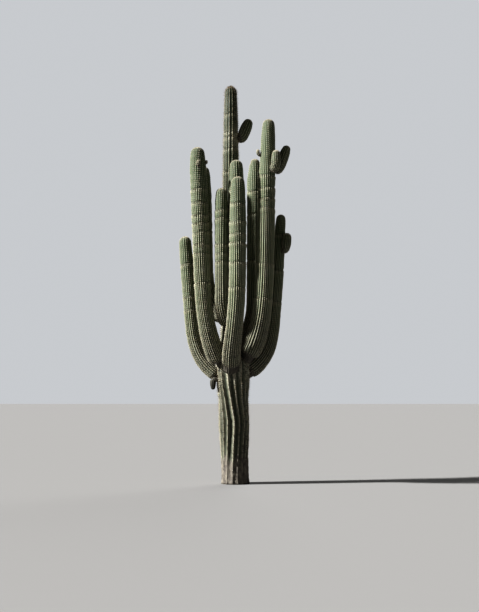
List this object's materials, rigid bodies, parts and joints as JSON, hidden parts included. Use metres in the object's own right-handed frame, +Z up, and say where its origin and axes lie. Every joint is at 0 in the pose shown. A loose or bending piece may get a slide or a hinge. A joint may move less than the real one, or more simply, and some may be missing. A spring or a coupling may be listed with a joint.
{
  "type": "saguaro cactus",
  "caption": "Tall branched desert cactus with a pleated trunk, upcurved arms and young buds, rooted by a flat cut at the ground.",
  "frame": {"origin": "middle of the flat cut under the trunk, at ground level", "axes": "+Z up along the trunk, -Y towards the plant's front, +X to the right seen from the front"},
  "size_m": [2.3193, 1.8472, 8.18],
  "materials": {
    "trunk_skin": "waxy grey green pleated skin, corky grey brown near the ground",
    "arm_skin": "waxy grey green pleated skin with paler growth bands",
    "bud_skin": "young waxy green skin in fine pleats",
    "spines": "dry straw grey spines on felted pads"
  },
  "bodies": {
    "root": {"trunk": "trunk_skin", "arm_far_left_bend": "arm_skin", "arm_far_left_upright": "arm_skin", "arm_left_bend": "arm_skin", "arm_left_upright": "arm_skin", "arm_back_left_bend": "arm_skin", "arm_back_left_upright": "arm_skin", "arm_mid_left_bend": "arm_skin", "arm_mid_left_upright": "arm_skin", "arm_front_bend": "arm_skin", "arm_front_upright": "arm_skin", "arm_inner_bend": "arm_skin", "arm_inner_upright": "arm_skin", "arm_back_right_bend": "arm_skin", "arm_back_right_upright": "arm_skin", "arm_right_bend": "arm_skin", "arm_right_upright": "arm_skin", "arm_far_right_bend": "arm_skin", "arm_far_right_upright": "arm_skin", "bud_trunk": "bud_skin", "bud_right_inner": "bud_skin", "bud_right_outer": "bud_skin", "bud_far_right": "bud_skin", "bud_left": "bud_skin", "knob_left": "bud_skin", "knob_right": "bud_skin", "stub_far_left": "bud_skin"}
  },
  "joints": []
}
